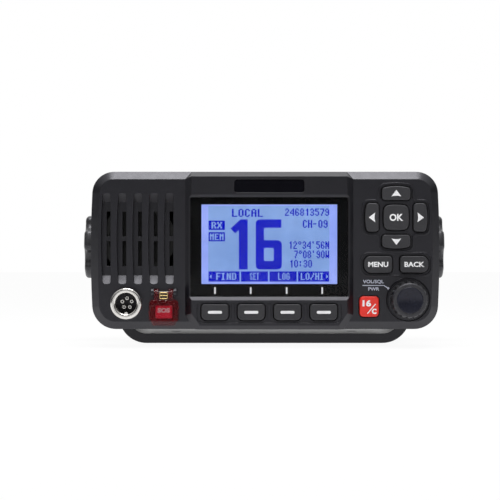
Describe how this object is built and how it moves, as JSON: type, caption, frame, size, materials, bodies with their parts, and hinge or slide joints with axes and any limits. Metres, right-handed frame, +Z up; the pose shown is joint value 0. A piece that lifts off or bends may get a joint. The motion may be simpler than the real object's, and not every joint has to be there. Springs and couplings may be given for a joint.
{
  "type": "fixed-mount marine radio",
  "caption": "Fixed-mount marine radio with a lit screen, speaker grille, keys, volume knob, microphone socket and covered distress button, tilting between clamp knobs in a gimbal bracket.",
  "frame": {"origin": "centre of the bracket's mounting face", "axes": "+Z up, +X to the right seen from the front, front panel faces -Y"},
  "size_m": [0.1882, 0.1495, 0.0864],
  "materials": {
    "bracket_paint": "satin black powder coat",
    "knob_plastic": "matte black moulding",
    "stainless": "stainless steel",
    "washer_nylon": "black nylon",
    "insert_brass": "turned",
    "pad_rubber": "moulded, ribbed",
    "bezel_plastic": "fine grained black moulding",
    "chassis_paint": "black coated die casting",
    "gasket_rubber": "moulded",
    "window_clear": "hard-coated clear window",
    "mask_black": "printed black border",
    "lcd_glass": "lit blue liquid crystal panel",
    "backlight_white": "light guide",
    "badge_gloss": "blank gloss black plate",
    "basket_steel": "pressed steel",
    "ferrite": "pressed ferrite",
    "cone_paper": "coated paper",
    "membrane_black": "woven, water-shedding",
    "silicone": "moulded silicone",
    "key_rubber": "coated silicone key",
    "key_red": "red silicone key",
    "encoder_steel": "turned and pressed",
    "volume_plastic": "matte black moulding",
    "cap_gloss": "gloss black dished cap",
    "chrome_plate": "polished nickel-chrome plating",
    "socket_black": "moulded insulator",
    "pin_plate": "plated contact",
    "cover_red": "translucent dark red moulding",
    "spring_wire": "bent wire",
    "button_red": "red button",
    "board_green": "solder-masked circuit board",
    "tinned_steel": "tinned sheet",
    "module_metal": "flanged module",
    "ribbon_grey": "flat cable",
    "nickel_plate": "nickel plated brass",
    "ptfe_white": "white insulator",
    "gland_rubber": "moulded"
  },
  "bodies": {
    "bracket": {"gimbal_bracket": "bracket_paint"},
    "case": {"side_inserts": "insert_brass", "arm_pads": "pad_rubber", "front_bezel": "bezel_plastic", "rear_chassis": "chassis_paint", "chassis_gasket": "gasket_rubber", "case_screws": "stainless", "display_window": "window_clear", "window_mask": "mask_black", "lcd_panel": "lcd_glass", "lcd_backlight": "backlight_white", "badge_plate": "badge_gloss", "speaker_frame": "basket_steel", "speaker_magnet": "ferrite", "speaker_cone": "cone_paper", "speaker_membrane": "membrane_black", "speaker_screws": "stainless", "keypad_mat": "silicone", "encoder_body": "encoder_steel", "mic_socket_shell": "chrome_plate", "mic_socket_insert": "socket_black", "mic_socket_pins": "pin_plate", "mic_socket_nut": "chrome_plate", "cover_hinge_pin": "stainless", "cover_spring": "spring_wire", "key_board": "board_green", "main_board": "board_green", "board_screws": "stainless", "rf_shield": "tinned_steel", "power_module": "module_metal", "ribbon_cable": "ribbon_grey", "antenna_socket": "nickel_plate", "antenna_insulator": "ptfe_white", "antenna_contact": "insert_brass", "power_gland": "gland_rubber", "data_gland": "gland_rubber"},
    "left_washer": {"left_clamp_washer": "washer_nylon"},
    "right_washer": {"right_clamp_washer": "washer_nylon"},
    "left_knob": {"left_clamp_knob": "knob_plastic", "left_clamp_screw": "stainless"},
    "right_knob": {"right_clamp_knob": "knob_plastic", "right_clamp_screw": "stainless"},
    "volume_plunger": {"encoder_plunger": "encoder_steel"},
    "volume_dial": {"volume_knob": "volume_plastic", "volume_knob_cap": "cap_gloss", "encoder_shaft": "encoder_steel"},
    "distress_flap": {"distress_cover": "cover_red"},
    "distress_push": {"distress_button": "button_red"},
    "up_key": {"up_key": "key_rubber"},
    "down_key": {"down_key": "key_rubber"},
    "left_key": {"left_key": "key_rubber"},
    "right_key": {"right_key": "key_rubber"},
    "ok_key": {"ok_key": "key_rubber"},
    "menu_key": {"menu_key": "key_rubber"},
    "back_key": {"back_key": "key_rubber"},
    "soft_key_1": {"soft_key_1": "key_rubber"},
    "soft_key_2": {"soft_key_2": "key_rubber"},
    "soft_key_3": {"soft_key_3": "key_rubber"},
    "soft_key_4": {"soft_key_4": "key_rubber"},
    "channel_key": {"channel_key": "key_red"}
  },
  "joints": [
    {"name": "case_tilt", "type": "hinge", "parent": "bracket", "child": "case", "pos_m": [0, 0, 0.049], "axis": [-1, 0, 0], "range_deg": [-7, 15]},
    {"name": "left_clamp_slide", "type": "slide", "parent": "case", "child": "left_washer", "axis": [-1, 0, 0], "range_m": [0, 0.003]},
    {"name": "left_clamp_turn", "type": "hinge", "parent": "left_washer", "child": "left_knob", "pos_m": [-0.075, 0, 0.049], "axis": [-1, 0, 0], "range_deg": [0, 1080]},
    {"name": "right_clamp_slide", "type": "slide", "parent": "case", "child": "right_washer", "axis": [1, 0, 0], "range_m": [0, 0.003]},
    {"name": "right_clamp_turn", "type": "hinge", "parent": "right_washer", "child": "right_knob", "pos_m": [0.075, 0, 0.049], "axis": [1, 0, 0], "range_deg": [0, 1080]},
    {"name": "up_key_press", "type": "slide", "parent": "case", "child": "up_key", "axis": [0, 1, 0], "range_m": [0, 0.0008], "stiffness_N_per_m": 2500},
    {"name": "down_key_press", "type": "slide", "parent": "case", "child": "down_key", "axis": [0, 1, 0], "range_m": [0, 0.0008], "stiffness_N_per_m": 2500},
    {"name": "left_key_press", "type": "slide", "parent": "case", "child": "left_key", "axis": [0, 1, 0], "range_m": [0, 0.0008], "stiffness_N_per_m": 2500},
    {"name": "right_key_press", "type": "slide", "parent": "case", "child": "right_key", "axis": [0, 1, 0], "range_m": [0, 0.0008], "stiffness_N_per_m": 2500},
    {"name": "ok_key_press", "type": "slide", "parent": "case", "child": "ok_key", "axis": [0, 1, 0], "range_m": [0, 0.0008], "stiffness_N_per_m": 2500},
    {"name": "menu_key_press", "type": "slide", "parent": "case", "child": "menu_key", "axis": [0, 1, 0], "range_m": [0, 0.0008], "stiffness_N_per_m": 2500},
    {"name": "back_key_press", "type": "slide", "parent": "case", "child": "back_key", "axis": [0, 1, 0], "range_m": [0, 0.0008], "stiffness_N_per_m": 2500},
    {"name": "soft_key_1_press", "type": "slide", "parent": "case", "child": "soft_key_1", "axis": [0, 1, 0], "range_m": [0, 0.0008], "stiffness_N_per_m": 2500},
    {"name": "soft_key_2_press", "type": "slide", "parent": "case", "child": "soft_key_2", "axis": [0, 1, 0], "range_m": [0, 0.0008], "stiffness_N_per_m": 2500},
    {"name": "soft_key_3_press", "type": "slide", "parent": "case", "child": "soft_key_3", "axis": [0, 1, 0], "range_m": [0, 0.0008], "stiffness_N_per_m": 2500},
    {"name": "soft_key_4_press", "type": "slide", "parent": "case", "child": "soft_key_4", "axis": [0, 1, 0], "range_m": [0, 0.0008], "stiffness_N_per_m": 2500},
    {"name": "channel_key_press", "type": "slide", "parent": "case", "child": "channel_key", "axis": [0, 1, 0], "range_m": [0, 0.0008], "stiffness_N_per_m": 2500},
    {"name": "volume_push", "type": "slide", "parent": "case", "child": "volume_plunger", "axis": [0, 1, 0], "range_m": [0, 0.0006], "stiffness_N_per_m": 4000},
    {"name": "volume_turn", "type": "hinge", "parent": "volume_plunger", "child": "volume_dial", "pos_m": [0.0701, -0.074, 0.0235], "axis": [0, 1, 0], "continuous": true},
    {"name": "cover_lift", "type": "hinge", "parent": "case", "child": "distress_flap", "pos_m": [-0.0496, -0.0766, 0.0271], "axis": [-1, 0, 0], "range_deg": [0, 110], "stiffness_Nm_per_rad": 0.004, "springref_deg": -22.92},
    {"name": "distress_press", "type": "slide", "parent": "case", "child": "distress_push", "axis": [0, 1, 0], "range_m": [0, 0.001], "stiffness_N_per_m": 3000}
  ],
  "couplings": [
    {"joint": "left_clamp_turn", "follows": "left_clamp_slide", "rad_per_m": 6283.2},
    {"joint": "right_clamp_turn", "follows": "right_clamp_slide", "rad_per_m": 6283.2}
  ]
}
